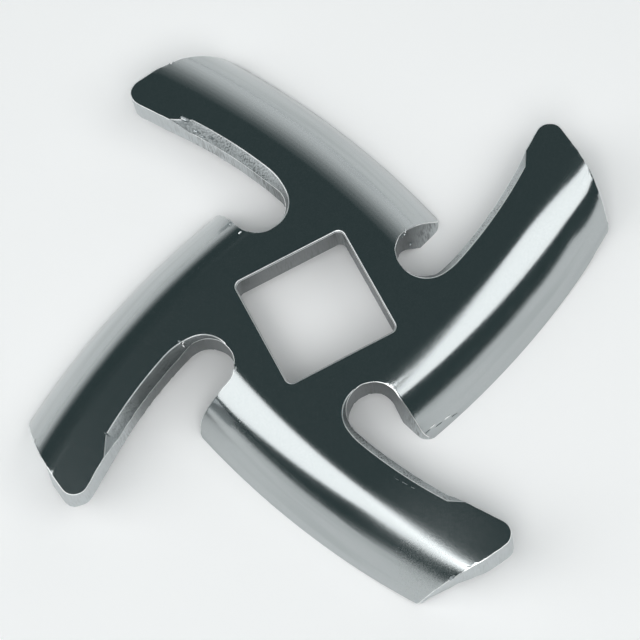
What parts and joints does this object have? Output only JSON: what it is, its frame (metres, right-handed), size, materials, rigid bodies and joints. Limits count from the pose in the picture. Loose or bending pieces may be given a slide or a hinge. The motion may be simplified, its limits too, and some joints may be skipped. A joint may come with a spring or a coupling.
{
  "type": "meat grinder knife",
  "caption": "Flat star-shaped steel knife with swept arms, bent-down ground cutting wings and a square driving hole, for a screw-fed meat grinder.",
  "frame": {"origin": "on the hub axis, in the plane of the ground cutting lands", "axes": "+Z along the hub axis, from the hole plate towards the feed screw; X and Y square to the flats of the driving hole; one arm points along +Y"},
  "size_m": [0.0514, 0.0514, 0.0054],
  "materials": {
    "steel": "mirror polished, with plain sheared edges"
  },
  "bodies": {
    "root": {"knife": "steel"}
  },
  "joints": []
}
